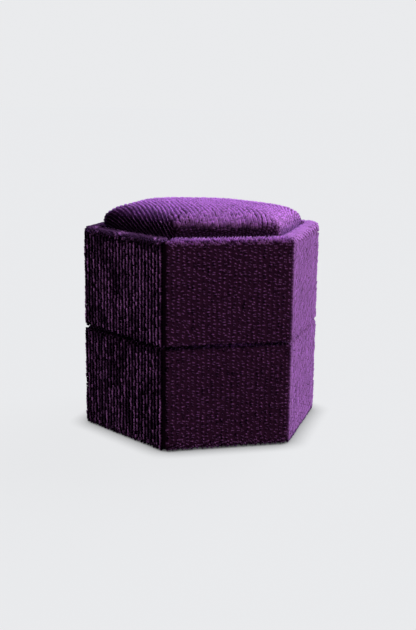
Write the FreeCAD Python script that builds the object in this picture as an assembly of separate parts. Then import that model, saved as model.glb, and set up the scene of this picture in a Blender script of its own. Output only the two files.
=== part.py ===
import FreeCAD, Part
import math
import os

# A six-sided velvet ring box: wrapped boards, a collar in the base and a lid that lifts straight off it.
# The origin is the middle of the underside, +Z is up, and one flat side faces -Y. Lengths are in mm.

# The whole box, measured over the pile
across_flats = 50.0
base_height = 23.5
lid_height = 23.7

# Velvet of the base and the lid, with its folds over the rims and under the base
velvet = 0.9
corner_round = 1.6
inner_round = 0.8
fold_round = 1.2
bottom_round = 1.4
base_leg = 10.0
lid_leg = 8.0
turn_under = 9.0
sole_thickness = 0.6
sole_inset = 3.0

# Boards of the base and the lid
wall_board = 2.0
floor_board = 2.0
top_board = 2.0

# Domed cushion, set in a recess in the top of the lid
recess_depth = 5.0
pad_clearance = 0.2
pad_side_rise = 0.8
pad_rise = 5.8
pad_corner_round = 3.0
pad_draw = 0.6
pad_draw_height = 1.2
pad_card = 1.2
pad_fold = 6.0

# Lining and padded ceiling inside the lid
lining = 0.6
ceiling_cover = 0.6
ceiling_card = 1.0
ceiling_foam = 1.6
ceiling_fold = 5.0
ceiling_round = 1.0

# Collar that stands on the floor of the base and guides the lid
collar_clearance = 0.3
collar_headroom = 1.0
collar_card = 1.2
collar_cover = 0.7
collar_round = 1.4
collar_fold_round = 0.6
collar_outer_tuck = 9.0
collar_inner_tuck = 6.0

# Cushion that grips the ring between its two halves
ring_pad_height = 18.2
ring_cover = 0.7
ring_card = 1.2
ring_fold = 5.0
ring_crown = 4.0
ring_corner_round = 1.5
slot_gap = 1.0

# Room left round a foam inside its cover
cover_slack = 0.15

# Counts, and the form of every crown
side_names = ("front", "front_right", "back_right", "back", "back_left", "front_left")
crown_steps = 9
crown_last_angle = 78.0
crown_power = 3.0
crown_round_share = 0.3
round_limit_share = 0.9
level_share = 0.01

# Half widths of each layer, from the middle of the box to a flat side
turn = 360.0 / len(side_names)
outer = across_flats / 2
board_outer = outer - velvet
board_inner = board_outer - wall_board
leg_inner = board_inner - velvet
collar_outer = leg_inner - collar_clearance
collar_card_outer = collar_outer - collar_cover
collar_card_inner = collar_card_outer - collar_card
collar_inner = collar_card_inner - collar_cover
ring_outer = collar_inner - pad_clearance
ring_inner = ring_outer - ring_cover
pad_outer = leg_inner - pad_clearance
pad_inner = pad_outer - velvet
lining_inner = board_inner - lining
ceiling_outer = leg_inner - pad_clearance
ceiling_inner = ceiling_outer - ceiling_cover

# Heights, from the table up
base_board_low = sole_thickness + velvet
floor_top = base_board_low + floor_board
base_board_high = base_height - velvet
lid_board_low = base_height + velvet
lid_leg_end = base_height + lid_leg
lid_rim = base_height + lid_height
lid_board_high = lid_rim - velvet
top_board_high = lid_rim - recess_depth
top_board_low = top_board_high - top_board
ceiling_card_high = top_board_low - ceiling_cover
ceiling_card_low = ceiling_card_high - ceiling_card
ceiling_foam_low = ceiling_card_low - ceiling_foam
ceiling_low = ceiling_foam_low - ceiling_cover
collar_top = ceiling_low - collar_headroom
collar_card_high = collar_top - collar_cover
ring_top = floor_top + ring_pad_height
ring_card_low = floor_top + ring_cover
ring_card_high = ring_card_low + ring_card
pad_card_low = top_board_high + velvet
pad_card_high = pad_card_low + pad_card
pad_side = lid_rim + pad_side_rise
pad_top = lid_rim + pad_rise

# Rounding of each fold, held under the rounding of the corner that it runs round
rim_fold = min(fold_round, round_limit_share * corner_round)
bottom_fold = min(bottom_round, round_limit_share * corner_round)
collar_fold = min(collar_fold_round, round_limit_share * collar_round)
ceiling_edge = min(ceiling_round, round_limit_share * corner_round)


def side_angle(index):
    """Direction that a side faces, in degrees, counted round from the front."""
    return turn * index - 90.0


def facing(angle):
    """Level unit vector at an angle in degrees."""
    return FreeCAD.Vector(math.cos(math.radians(angle)), math.sin(math.radians(angle)), 0)


def hexagon(apothem):
    """The six sides of a hexagon, each as the direction that it faces and its distance from the middle."""
    return [(side_angle(index), apothem) for index in range(len(side_names))]


def outline(sides, inset, radius, height):
    """Closed wire of a convex outline, drawn in by an inset, with its corners rounded."""
    entries = []
    middles = []
    exits = []
    for index, (angle, distance) in enumerate(sides):
        next_angle, next_distance = sides[(index + 1) % len(sides)]
        bend = math.radians((next_angle - angle) % 360.0)
        along = facing(angle + 90.0)
        along_next = facing(next_angle + 90.0)
        reach = (next_distance - inset - (distance - inset) * math.cos(bend)) / math.sin(bend)
        corner = facing(angle) * (distance - inset) + along * reach
        corner.z = height
        cut = radius * math.tan(bend / 2)
        out = facing(angle) + facing(next_angle)
        out.normalize()
        entries.append(corner - along * cut)
        middles.append(corner - out * (radius / math.cos(bend / 2) - radius))
        exits.append(corner + along_next * cut)
    edges = []
    for index, entry in enumerate(entries):
        edges.append(Part.LineSegment(exits[index - 1], entry).toShape())
        if radius > 0:
            edges.append(Part.Arc(entry, middles[index], exits[index]).toShape())
    return Part.Wire(edges)


def prism(sides, radius, low, high):
    """Upright solid over an outline, from one height to another."""
    face = Part.Face(outline(sides, 0, radius, low))
    return face.extrude(FreeCAD.Vector(0, 0, high - low))


def hexagon_prism(apothem, radius, low, high):
    """Upright six-sided solid."""
    return prism(hexagon(apothem), radius, low, high)


def tube(outside, outside_round, inside, inside_round, low, high):
    """Upright six-sided tube between two half widths."""
    return hexagon_prism(outside, outside_round, low, high).cut(hexagon_prism(inside, inside_round, low, high))


def joined(solids):
    """One solid made of several that touch, with the faces that continue each other merged."""
    return solids[0].fuse(solids[1:]).removeSplitter()


def rounded_rim(solid, height, nearest, farthest, radius):
    """The solid with its level edges at one height rounded, where they lie between two half widths."""
    edges = []
    for edge in solid.Edges:
        box = edge.BoundBox
        level = abs(box.ZMin - height) + abs(box.ZMax - height) < level_share * velvet
        middle = edge.valueAt((edge.FirstParameter + edge.LastParameter) / 2)
        half_width = max(middle.dot(facing(angle)) for angle, distance in hexagon(outer))
        if level and nearest < half_width < farthest:
            edges.append(edge)
    return solid.makeFillet(radius, edges)


def cushion(sides, reach, corner, low, side_high, high):
    """Straight-sided pad with a crowned top, which draws in by a share of its reach and rounds off."""
    last = math.radians(crown_last_angle)
    power = 2.0 / crown_power
    sections = []
    for step in range(crown_steps + 1):
        angle = last * step / crown_steps
        inset = reach * (1 - math.cos(angle) ** power)
        rise = (high - side_high) * (math.sin(angle) / math.sin(last)) ** power
        radius = min(corner + crown_round_share * inset, round_limit_share * (reach - inset))
        sections.append(outline(sides, inset, radius, side_high + rise))
    crown = Part.makeLoft(sections, True, True)
    return joined([prism(sides, corner, low, side_high), crown])


def wall_panel(index, low, high):
    """One flat board of a six-sided wall, mitred at both ends."""
    middle = side_angle(index)
    half_angle = math.radians(turn / 2)
    points = []
    for apothem, sign in ((board_inner, -1), (board_outer, -1), (board_outer, 1), (board_inner, 1)):
        point = facing(middle) * apothem + facing(middle + 90.0) * (sign * apothem * math.tan(half_angle))
        point.z = low
        points.append(point)
    face = Part.Face(Part.makePolygon(points + points[:1]))
    return face.extrude(FreeCAD.Vector(0, 0, high - low))


def base_wrap():
    """Velvet round the base: up the wall, over the rim into the box, and turned under the floor."""
    between = (board_outer + board_inner) / 2
    wrap = joined([
        tube(outer, corner_round, board_outer, 0, sole_thickness, base_height),
        tube(board_outer, 0, board_inner, 0, base_board_high, base_height),
        tube(board_inner, 0, leg_inner, inner_round, base_height - base_leg, base_height),
        tube(board_outer, 0, outer - turn_under, 0, sole_thickness, base_board_low),
    ])
    wrap = rounded_rim(wrap, base_height, 0, between, rim_fold)
    wrap = rounded_rim(wrap, base_height, between, across_flats, rim_fold)
    return rounded_rim(wrap, sole_thickness, between, across_flats, bottom_fold)


def lid_wrap():
    """Velvet round the lid, folded over both rims: into the hollow below and the recess above."""
    between = (board_outer + board_inner) / 2
    wrap = joined([
        tube(outer, corner_round, board_outer, 0, base_height, lid_rim),
        tube(board_outer, 0, board_inner, 0, base_height, lid_board_low),
        tube(board_outer, 0, board_inner, 0, lid_board_high, lid_rim),
        tube(board_inner, 0, leg_inner, inner_round, base_height, lid_leg_end),
        tube(board_inner, 0, leg_inner, inner_round, top_board_high, lid_rim),
    ])
    for height in (base_height, lid_rim):
        wrap = rounded_rim(wrap, height, 0, between, rim_fold)
        wrap = rounded_rim(wrap, height, between, across_flats, rim_fold)
    return wrap


def collar_wrap():
    """The collar's velvet: over its top edge, down outside past the seam and inside past the ring cushion."""
    between = (collar_card_outer + collar_card_inner) / 2
    wrap = joined([
        tube(collar_outer, collar_round, collar_card_outer, 0, base_height - collar_outer_tuck, collar_top),
        tube(collar_card_outer, 0, collar_card_inner, 0, collar_card_high, collar_top),
        tube(collar_card_inner, 0, collar_inner, inner_round, ring_top - collar_inner_tuck, collar_top),
    ])
    wrap = rounded_rim(wrap, collar_top, 0, between, collar_fold)
    return rounded_rim(wrap, collar_top, between, across_flats, collar_fold)


def ring_half(place, apothem, slot_side, corner, low, high):
    """One half of the ring cushion, with its flat face along the slot: in front of it or at the back of it."""
    front, front_right, back_right, back, back_left, front_left = hexagon(apothem)
    if place == "front":
        sides = [front, front_right, (back[0], -slot_side), front_left]
    else:
        sides = [(front[0], -slot_side), back_right, back, back_left]
    return cushion(sides, (apothem - slot_side) / 2, corner, low, high - ring_crown, high)


def ring_foam(place, slack):
    """Foam of one half of the ring cushion, drawn in by a slack on every side but the bottom."""
    slot_side = slot_gap / 2 + ring_cover + slack
    top = ring_top - ring_cover - slack
    return ring_half(place, ring_inner - slack, slot_side, ring_corner_round, ring_card_high, top)


def ring_wrap():
    """Velvet of the ring cushion: one piece over both halves, tucked into the slot between them."""
    wrap = joined([
        hexagon_prism(ring_outer, ring_corner_round, floor_top, ring_card_high + ring_cover),
        ring_half("front", ring_outer, slot_gap / 2, ring_corner_round, floor_top, ring_top),
        ring_half("back", ring_outer, slot_gap / 2, ring_corner_round, floor_top, ring_top),
    ])
    wrap = wrap.cut(hexagon_prism(ring_inner, 0, ring_card_low, ring_card_high))
    wrap = wrap.cut(hexagon_prism(ring_inner - ring_fold, 0, floor_top, ring_card_low))
    return wrap.cut([ring_foam("front", 0), ring_foam("back", 0)])


def pad_foam(slack):
    """Foam of the lid's cushion, drawn in by a slack on every side but the bottom."""
    apothem = pad_inner - slack
    drop = velvet + slack
    return cushion(hexagon(apothem), apothem, pad_corner_round, pad_card_high, pad_side - drop, pad_top - drop)


def pad_wrap():
    """Velvet of the lid's cushion, drawn in at its foot and folded under its card."""
    sides = hexagon(pad_outer)
    shoulder = top_board_high + pad_draw_height
    foot_low = outline(sides, pad_draw, pad_corner_round, top_board_high)
    foot_high = outline(sides, 0, pad_corner_round, shoulder)
    wrap = joined([
        Part.makeLoft([foot_low, foot_high], True, True),
        cushion(sides, pad_outer, pad_corner_round, shoulder, pad_side, pad_top),
    ])
    wrap = wrap.cut(hexagon_prism(pad_inner, pad_corner_round, pad_card_low, pad_card_high))
    wrap = wrap.cut(hexagon_prism(pad_inner - pad_fold, 0, top_board_high, pad_card_low))
    return wrap.cut(pad_foam(0))


def ceiling_wrap():
    """Cover of the padded ceiling, folded over the back of its card."""
    wrap = hexagon_prism(ceiling_outer, corner_round, ceiling_low, top_board_low)
    wrap = rounded_rim(wrap, ceiling_low, 0, across_flats, ceiling_edge)
    wrap = wrap.cut(hexagon_prism(ceiling_inner, corner_round, ceiling_foam_low, ceiling_card_high))
    return wrap.cut(hexagon_prism(ceiling_inner - ceiling_fold, 0, ceiling_card_high, top_board_low))


def build():
    """Every piece of the box, under the name that it is filed by."""
    pieces = {}
    pieces["base_sole"] = hexagon_prism(outer - sole_inset, corner_round, 0, sole_thickness)
    pieces["base_floor_board"] = hexagon_prism(board_inner, 0, base_board_low, floor_top)
    pieces["lid_top_board"] = hexagon_prism(board_inner, 0, top_board_low, top_board_high)
    for index, side_name in enumerate(side_names):
        pieces["base_wall_" + side_name] = wall_panel(index, base_board_low, base_board_high)
        pieces["lid_wall_" + side_name] = wall_panel(index, lid_board_low, lid_board_high)
    pieces["base_velvet_wrap"] = base_wrap()
    pieces["lid_velvet_wrap"] = lid_wrap()
    pieces["collar_card"] = tube(collar_card_outer, 0, collar_card_inner, 0, floor_top, collar_card_high)
    pieces["collar_velvet"] = collar_wrap()
    pieces["ring_pad_card"] = hexagon_prism(ring_inner, 0, ring_card_low, ring_card_high)
    pieces["ring_foam_front"] = ring_foam("front", cover_slack)
    pieces["ring_foam_back"] = ring_foam("back", cover_slack)
    pieces["ring_pad_velvet"] = ring_wrap()
    pieces["lid_pad_card"] = hexagon_prism(pad_inner, pad_corner_round, pad_card_low, pad_card_high)
    pieces["lid_pad_foam"] = pad_foam(cover_slack)
    pieces["lid_pad_velvet"] = pad_wrap()
    pieces["lid_wall_lining"] = tube(board_inner, 0, lining_inner, 0, lid_leg_end, top_board_low)
    pieces["lid_ceiling_card"] = hexagon_prism(ceiling_inner, corner_round, ceiling_card_low, ceiling_card_high)
    foam_width = ceiling_inner - cover_slack
    pieces["lid_ceiling_foam"] = hexagon_prism(foam_width, corner_round, ceiling_foam_low, ceiling_card_low)
    pieces["lid_ceiling_cover"] = ceiling_wrap()
    return pieces


pieces = build()
os.makedirs("parts", exist_ok=True)
for name, shape in pieces.items():
    shape.exportStep("parts/" + name + ".step")
    print(name, len(shape.Solids), shape.isValid(), round(shape.Volume, 2))
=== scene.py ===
import math

import bpy
import numpy as np
from bpy.props import FloatProperty, FloatVectorProperty, IntProperty, PointerProperty
from mathutils import Matrix, Vector
from mathutils.bvhtree import BVHTree


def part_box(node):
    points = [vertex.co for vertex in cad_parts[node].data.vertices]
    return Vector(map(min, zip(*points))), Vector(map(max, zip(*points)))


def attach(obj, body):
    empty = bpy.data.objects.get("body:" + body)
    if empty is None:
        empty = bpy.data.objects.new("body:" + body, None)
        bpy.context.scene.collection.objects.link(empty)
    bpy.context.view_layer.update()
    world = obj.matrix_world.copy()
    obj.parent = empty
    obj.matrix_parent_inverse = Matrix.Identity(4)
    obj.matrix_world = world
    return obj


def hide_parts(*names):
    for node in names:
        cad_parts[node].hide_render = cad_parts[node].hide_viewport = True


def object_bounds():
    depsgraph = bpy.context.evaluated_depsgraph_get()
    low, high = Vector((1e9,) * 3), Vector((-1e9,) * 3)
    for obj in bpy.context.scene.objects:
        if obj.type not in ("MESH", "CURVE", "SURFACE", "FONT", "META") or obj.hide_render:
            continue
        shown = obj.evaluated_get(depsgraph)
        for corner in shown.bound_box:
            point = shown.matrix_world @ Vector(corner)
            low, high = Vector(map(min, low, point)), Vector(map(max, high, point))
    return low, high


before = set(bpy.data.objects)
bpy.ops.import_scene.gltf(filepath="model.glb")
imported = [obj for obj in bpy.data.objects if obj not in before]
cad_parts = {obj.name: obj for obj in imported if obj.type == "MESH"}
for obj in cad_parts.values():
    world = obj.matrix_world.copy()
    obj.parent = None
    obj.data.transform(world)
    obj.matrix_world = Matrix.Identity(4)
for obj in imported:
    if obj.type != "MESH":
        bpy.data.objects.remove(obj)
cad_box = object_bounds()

bl_info = {
    "name": "Velvet ring box",
    "version": (1, 0, 0),
    "blender": (4, 5, 0),
    "location": "View3D > Sidebar > Ring Box",
    "description": "Dresses a six-sided ring box in cut-pile velvet and sets it on a pale studio floor",
    "category": "Object",
}

# One millimetre in scene units
MM = 0.001
# The box has six sides
SIDES = 6
# Half the turn from one side to the next
HALF_TURN = math.pi / SIDES


def half_width(node):
    """Distance from the middle of the box to a flat side of a node."""
    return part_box(node)[1].y


def bottom(node):
    """Lowest height of a node."""
    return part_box(node)[0].z


def top(node):
    """Highest height of a node."""
    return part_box(node)[1].z


# Half widths and heights of the box, read from the frame
OUTER = half_width("base_velvet_wrap")
BOARD_INNER = half_width("base_floor_board")
LEG_INNER = BOARD_INNER - (OUTER - half_width("base_wall_back"))
SEAM = top("base_velvet_wrap")
RIM = top("lid_velvet_wrap")

# Rounding of the folds and corners
CORNER_ROUND = 1.6 * MM
INNER_ROUND = 0.8 * MM
LEAST_ROUND = 0.3 * MM
FOLD_ROUND = 1.2 * MM
SEAM_ROUND = 0.6 * MM
BOTTOM_ROUND = 0.5 * MM
COLLAR_ROUND = 1.4 * MM
COLLAR_FOLD = 0.6 * MM
PAD_CORNER = 3.0 * MM
CEILING_CORNER = 1.0 * MM
RING_CORNER = 1.5 * MM

# Thickness of the soft layers inside, as in the solids
COLLAR_COVER = 0.7 * MM
COLLAR_CARD = 1.2 * MM
LINING = 0.6 * MM
RING_CROWN = 4.0 * MM
SLOT_HALF = 0.5 * MM

# The lid's lower edge, drawn in pressed pile and painted shade, rises by this much at the left, and fades over
# this height
LIP_RISE = 1.3 * MM
LIP_SOFT = 0.4 * MM

# The direction straight up
UP = np.array([0, 0, 1])

# Sides are counted from the front round to the right
FRONT = 0
FRONT_LEFT = 5
# By side: how loosely the tufts stand, how hard the seam presses them, the painted light and shade of the pile
# at the rim, darkest at the left, and the painted shade on the base under the lid, deepest at the left
LOOSE = np.array([1.0, 0.3, 0.3, 0.35, 0.35, 0.35])
SEAM_FORCE = np.array([1, 0.45, 0.45, 1, 1, 1])
RIM_PAINTED_LIGHT = np.array([-0.1, 0, 0, 0.2, -0.6, -0.9])
SHELF_PAINTED_SHADE = np.array([0.2, 0, 0, 0.2, 0.9, 0.9])
# By side: how uneven the tones are from tuft to tuft, and along the wales
TUFT_MOTTLE = np.array([0.22, 0.05, 0.05, 0.08, 0.1, 0.26])
WALE_MOTTLE = np.array([0.07, 0.05, 0.05, 0.05, 0.1, 0.25])
# Tufts on the walls and on the lid's cushion: height of the part across the wale, brightness of its ends,
# how far its shading turns to the side, brightness of its root, its thickness, and how much painted shade
# darkens it between the wales where these face up or to a side
WALL_TUFT = (0.7, 0.74, -0.6, 0.42, 0.52, 0.0)
CUSHION_TUFT = (1.0, 0.74, -0.2, 0.55, 0.68, 2.4)


class RingBoxPile(bpy.types.PropertyGroup):
    """Sizes of the velvet's pile."""

    wale_pitch: FloatProperty(
        name="Wale pitch", description="Distance between two rows of tufts",
        default=1.15 * MM, unit="LENGTH",
    )
    cushion_pitch: FloatProperty(
        name="Cushion pitch", description="Distance between two rows of tufts on the lid's cushion",
        default=0.9 * MM, unit="LENGTH",
    )
    tuft_pitch: FloatProperty(
        name="Tuft pitch", description="Distance between two tufts in a row",
        default=0.76 * MM, unit="LENGTH",
    )
    height: FloatProperty(
        name="Pile height", description="Height of the tufts over their cloth",
        default=0.6 * MM, unit="LENGTH",
    )
    lining_height: FloatProperty(
        name="Lining pile", description="Height of the tufts inside the box",
        default=0.42 * MM, unit="LENGTH",
    )
    ground: FloatProperty(
        name="Ground cloth", description="Thickness of the cloth under the pile",
        default=0.2 * MM, unit="LENGTH",
    )
    tuft_width: FloatProperty(
        name="Tuft width", description="Width of a tuft across its row", default=1.0 * MM, unit="LENGTH"
    )
    tuft_length: FloatProperty(
        name="Tuft length", description="Length of a tuft along its row", default=0.76 * MM, unit="LENGTH"
    )
    corner_gap: FloatProperty(
        name="Corner gap", description="How far the pile parts at each side of a corner", default=0.1 * MM,
        unit="LENGTH",
    )
    join_gap: FloatProperty(
        name="Join gap",
        description="How far it parts at each side of the corner where the cloth's ends meet",
        default=0.45 * MM, unit="LENGTH",
    )
    brush: FloatProperty(
        name="Brush", description="How far the nap is brushed towards the back, as a share of its height",
        default=0.4,
        subtype="FACTOR",
    )
    sag: FloatProperty(
        name="Sag", description="How far the nap hangs down, as a share of its height",
        default=0.12, subtype="FACTOR",
    )
    stray: FloatProperty(
        name="Stray", description="How far tufts lean out of line", default=0.16, subtype="FACTOR"
    )
    calm: FloatProperty(
        name="Calm", description="How much of the cloth's own shading the tufts keep",
        default=0.8, subtype="FACTOR",
    )
    wale_swell: FloatProperty(
        name="Wale swell", description="How far the shading rounds over a row of tufts",
        default=0.7, subtype="FACTOR",
    )
    seed: IntProperty(name="Seed", description="Start of every random choice", default=7)


class RingBoxColours(bpy.types.PropertyGroup):
    """Colours of the box and its stage."""

    # Painted shade: the pile's colour deep among the tufts is darkened
    shaded_pile_root: FloatVectorProperty(
        name="Pile root", description="Velvet deep in the pile",
        default=(0.095, 0.024, 0.085), subtype="COLOR",
    )
    pile_tip: FloatVectorProperty(
        name="Pile tip", description="Velvet at the tips of the pile",
        default=(0.72, 0.28, 0.86), subtype="COLOR",
    )
    pile_sheen: FloatVectorProperty(
        name="Pile sheen", description="Colour of the light along the pile",
        default=(0.62, 0.27, 0.95), subtype="COLOR",
    )
    felt: FloatVectorProperty(
        name="Felt", description="Sole under the base", default=(0.02, 0.008, 0.022), subtype="COLOR"
    )
    greyboard: FloatVectorProperty(
        name="Greyboard", description="Boards of the walls", default=(0.3, 0.27, 0.235), subtype="COLOR"
    )
    card: FloatVectorProperty(
        name="Card", description="Cards of the cushions and the collar",
        default=(0.42, 0.39, 0.33), subtype="COLOR",
    )
    floor: FloatVectorProperty(
        name="Floor", description="Studio floor",
        default=(0.8, 0.807, 0.823), subtype="COLOR",
    )


class RingBoxStage(bpy.types.PropertyGroup):
    """Place of the camera and strength of the lights."""

    azimuth: FloatProperty(
        name="Azimuth", description="Camera's direction round the box",
        default=math.radians(-12.77), subtype="ANGLE",
    )
    elevation: FloatProperty(
        name="Elevation", description="Camera's direction above the floor",
        default=math.radians(11.77), subtype="ANGLE",
    )
    distance: FloatProperty(
        name="Distance", description="Camera to the middle of the box", default=235.4 * MM, unit="LENGTH"
    )
    look_azimuth: FloatProperty(
        name="Look azimuth", description="Direction that the camera looks from",
        default=math.radians(-13.05),
        subtype="ANGLE",
    )
    pitch: FloatProperty(
        name="Pitch", description="How far the camera looks down",
        default=math.radians(12.07), subtype="ANGLE",
    )
    roll: FloatProperty(
        name="Roll", description="Tilt of the picture",
        default=math.radians(0.69), subtype="ANGLE",
    )
    lens: FloatProperty(
        name="Lens", description="Focal length for a picture 36 mm wide, in mm",
        default=84.2,
    )
    key: FloatProperty(name="Key light", description="Strength of the wide light at the right", default=3.9)
    fill: FloatProperty(
        name="Fill light", description="Strength of the wide light at the front",
        default=0.66,
    )
    rear: FloatProperty(
        name="Rear light", description="Strength of the wide light at the back left",
        default=0.5,
    )
    sky: FloatProperty(name="Sky", description="Strength of the light from all round", default=0.002)


def unit(vector):
    """The vector at length 1."""
    return vector / max(float(np.linalg.norm(vector)), 1e-12)


def units(vectors):
    """Every row at length 1."""
    return vectors / np.maximum(np.linalg.norm(vectors, axis=1, keepdims=True), 1e-12)


class Path:
    """A line in half width and height that a cloth follows, measured along its length."""

    def __init__(self, points, directions, turn):
        steps = np.linalg.norm(np.diff(points, axis=0), axis=1)
        self.points = points
        self.directions = directions
        self.turn = turn
        self.marks = np.concatenate([[0.0], np.cumsum(steps)])
        self.length = self.marks[-1]

    def at(self, along):
        """Half width, height, and the line's direction, at distances along it."""
        columns = [np.interp(along, self.marks, self.points[:, k]) for k in range(2)]
        columns += [np.interp(along, self.marks, self.directions[:, k]) for k in range(2)]
        return columns

    def mark_of_height(self, height, first, last):
        """Distance along the line where it is nearest to a height, between two distances."""
        along = np.linspace(first, last, 2000)
        return along[np.argmin(np.abs(self.at(along)[1] - height))]


def folded_path(corners, rounds, turn=1.0, steps=7):
    """A path through corners, with each inner corner rounded."""
    corners = np.array(corners, float)
    points = [corners[0]]
    directions = [unit(corners[1] - corners[0])]
    for index, radius in enumerate(rounds, 1):
        back = unit(corners[index - 1] - corners[index])
        ahead = unit(corners[index + 1] - corners[index])
        bend = math.acos(float(np.clip(-back @ ahead, -1, 1)))
        centre = corners[index] + unit(back + ahead) * radius / math.cos(bend / 2)
        start = corners[index] + back * radius * math.tan(bend / 2) - centre
        end = corners[index] + ahead * radius * math.tan(bend / 2) - centre
        for step in range(steps + 1):
            angle = bend * step / steps
            spoke = (math.sin(bend - angle) * start + math.sin(angle) * end) / math.sin(bend)
            points.append(centre + spoke)
            directions.append(unit(math.sin(bend - angle) * -back + math.sin(angle) * ahead))
    points.append(corners[-1])
    directions.append(unit(corners[-1] - corners[-2]))
    return Path(np.array(points), np.array(directions), turn)


def crowned_path(width, crown, side, back, power, tuck, turn, bulge=0.0):
    """A path over a cushion from the middle of its crown, along its side to its back, and in behind it."""
    angle = np.linspace(0, math.pi / 2, 40)
    across = (width + bulge) * np.sin(angle) ** (2 / power)
    height = side + (crown - side) * np.cos(angle) ** (2 / power)
    ease = np.linspace(0.1, 1, 9)
    drawn = np.column_stack([
        width + bulge * np.cos(0.5 * math.pi * ease) ** 2,
        side + ease * 0.5 * (back - side),
    ])
    points = np.concatenate([np.column_stack([across, height]), drawn, [(width, back), (width - tuck, back)]])
    return Path(points, units(np.gradient(points, axis=0)), turn)


def ways_of(side):
    """The way out of each of some sides of the box, and the way along it."""
    facing = math.pi * (side / 3 - 0.5)
    square = np.stack([np.cos(facing), np.sin(facing)], 1)
    return square, np.stack([-np.sin(facing), np.cos(facing)], 1)


def around(width, radius, share):
    """Places and outward directions round a rounded hexagon. A whole share is the middle of a corner."""
    side = np.floor(share)
    facing = math.pi * (side / 3 - 0.5)
    flat = (width - radius) * math.tan(HALF_TURN)
    arc = radius * HALF_TURN
    step = (share - side) * 2 * (flat + arc) - flat - arc
    across = np.clip(step, -flat, flat)
    swing = (step - across) / radius
    out = np.stack([np.cos(facing + swing), np.sin(facing + swing)], 1)
    square, beside = ways_of(side)
    place = square * (width - radius)[:, None] + beside * across[:, None] + out * radius[:, None]
    return place, out


def wall_corner(width):
    """Corner rounding of the two wraps at a half width."""
    share = (width - LEG_INNER) / (OUTER - LEG_INNER)
    return np.maximum(INNER_ROUND + share * (CORNER_ROUND - INNER_ROUND), LEAST_ROUND)


def collar_corner(width):
    """Corner rounding of the collar."""
    return np.full_like(width, COLLAR_ROUND)


def lining_corner(width):
    """Corner rounding of the lining of the lid."""
    return np.full_like(width, INNER_ROUND)


def cushion_corner(full, edge):
    """Corner rounding of a six-sided cushion: rounder towards its middle."""
    return lambda width: np.minimum(edge + 0.35 * np.maximum(full - width, 0), 0.9 * width) + 1e-6


def on_wrap(path, share, along, corner):
    """Places on a cloth that goes round the box, the way out of it and the way along the path."""
    width, height, run, climb = path.at(along)
    place, out = around(width, corner(width), share)
    ways = units(np.stack([run, climb], 1))
    outward = np.column_stack([out * (path.turn * ways[:, 1])[:, None], -path.turn * ways[:, 0]])
    onward = np.column_stack([out * ways[:, :1], ways[:, 1]])
    return np.column_stack([place, height]), outward, onward


def new_object(name, data):
    """A new object in the scene."""
    piece = bpy.data.objects.new(name, data)
    bpy.context.scene.collection.objects.link(piece)
    return piece


def shade_smooth(mesh):
    """Smooths the shading of every face."""
    mesh.polygons.foreach_set("use_smooth", [True] * len(mesh.polygons))


def mesh_object(name, points, faces):
    """A new smooth object from points and faces."""
    mesh = bpy.data.meshes.new(name)
    mesh.from_pydata([tuple(p) for p in points], [], faces)
    shade_smooth(mesh)
    mesh.update()
    return new_object(name, mesh)


def write_values(mesh, name, values, domain="POINT"):
    """Writes an attribute of a mesh's points or faces, from numbers or from vectors."""
    values = np.asarray(values, np.float32)
    kind, key = ("FLOAT", "value") if values.ndim == 1 else ("FLOAT_VECTOR", "vector")
    mesh.attributes.new(name, kind, domain).data.foreach_set(key, values.ravel())


def read_values(mesh, name, width):
    """An attribute of a mesh's points or faces as an array."""
    data = mesh.attributes[name].data
    values = np.zeros(len(data) * width, np.float32)
    data.foreach_get("value" if width == 1 else "vector", values)
    return values.reshape(-1, width)


def read_points(mesh, what="co"):
    """The places of a mesh's points, or their normals, as an array."""
    values = np.zeros(len(mesh.vertices) * 3, np.float32)
    mesh.vertices.foreach_get(what, values)
    return values.reshape(-1, 3)


def evaluated_mesh(piece):
    """A plain mesh of a piece with its modifiers worked in."""
    bpy.context.view_layer.update()
    graph = bpy.context.evaluated_depsgraph_get()
    return bpy.data.meshes.new_from_object(piece.evaluated_get(graph))


def discard(piece):
    """Deletes a helper and its mesh."""
    mesh = piece.data
    bpy.data.objects.remove(piece)
    bpy.data.meshes.remove(mesh)


def ground_cloth(name, path, corner, wales, height, pile, material):
    """The woven ground of a wrap: a thin closed band with a low rib under every wale."""
    rib = 0.15 * pile.ground
    shares = np.arange(SIDES * wales * 2) / (wales * 2)
    alongs = np.unique(np.concatenate([path.marks, np.linspace(0, path.length, 40)]))
    grid_share, grid_along = np.meshgrid(shares, alongs, indexing="ij")
    place, out = on_wrap(path, grid_share.ravel(), grid_along.ravel(), corner)[:2]
    ridge = np.where(np.arange(len(shares)) % 2 == 1, rib, -rib).repeat(len(alongs))
    upper = place + out * (ridge - height)[:, None]
    lower = place - out * (height + pile.ground)
    rows = len(alongs)
    count = len(upper)
    faces = []
    for column in range(len(shares)):
        after = (column + 1) % len(shares)
        for row in range(rows - 1):
            a, b = column * rows + row, after * rows + row
            faces.append((a, b, b + 1, a + 1))
            faces.append((a + count, a + count + 1, b + count + 1, b + count))
        first, last = column * rows, column * rows + rows - 1
        first_after, last_after = after * rows, after * rows + rows - 1
        faces.append((first, first + count, first_after + count, first_after))
        faces.append((last, last_after, last_after + count, last + count))
    piece = mesh_object(name, np.concatenate([upper, lower]), faces)
    piece.data.materials.append(material)
    # Painted shade: the cloth is darkest along its join, at the first corner
    away = np.minimum(shares, SIDES - shares) * wales * pile.wale_pitch
    join = np.clip(2 - away / pile.join_gap, 0, 1).repeat(rows)
    write_values(piece.data, "join", np.tile(join, 2))
    return piece


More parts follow.
